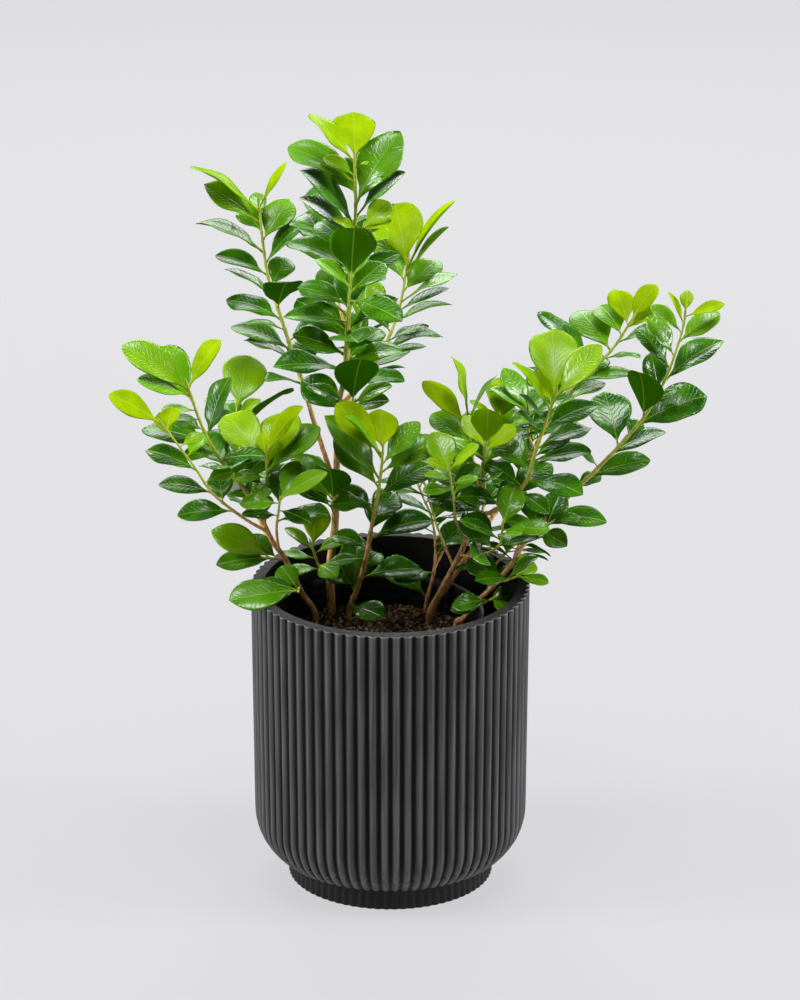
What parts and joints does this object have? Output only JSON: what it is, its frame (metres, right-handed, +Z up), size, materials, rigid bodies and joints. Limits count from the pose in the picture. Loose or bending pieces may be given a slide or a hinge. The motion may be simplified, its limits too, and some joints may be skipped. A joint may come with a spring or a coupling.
{
  "type": "potted ficus",
  "caption": "Small-leaved ficus shrub with several leafy woody stems, in a black nursery pot inside a vertically fluted charcoal planter.",
  "frame": {"origin": "centre of the planter's foot, on the ground", "axes": "+Z up; the front, as the picture sees it, faces -Y; +X is to the viewer's right"},
  "size_m": [0.6005, 0.3668, 0.7936],
  "materials": {
    "planter": "matt charcoal, fluted",
    "nursery_pot": "plain black, satin",
    "potting_mix": "loose granular brown mix",
    "foliage": "glossy green leaves on brown woody stems"
  },
  "bodies": {
    "root": {"planter": "planter", "nursery_pot": "nursery_pot", "potting_mix": "potting_mix", "left_stem": "foliage", "centre_stem": "foliage", "front_stem": "foliage", "right_stem": "foliage", "back_right_stem": "foliage", "long_right_stem": "foliage", "rear_twig": "foliage"}
  },
  "joints": []
}
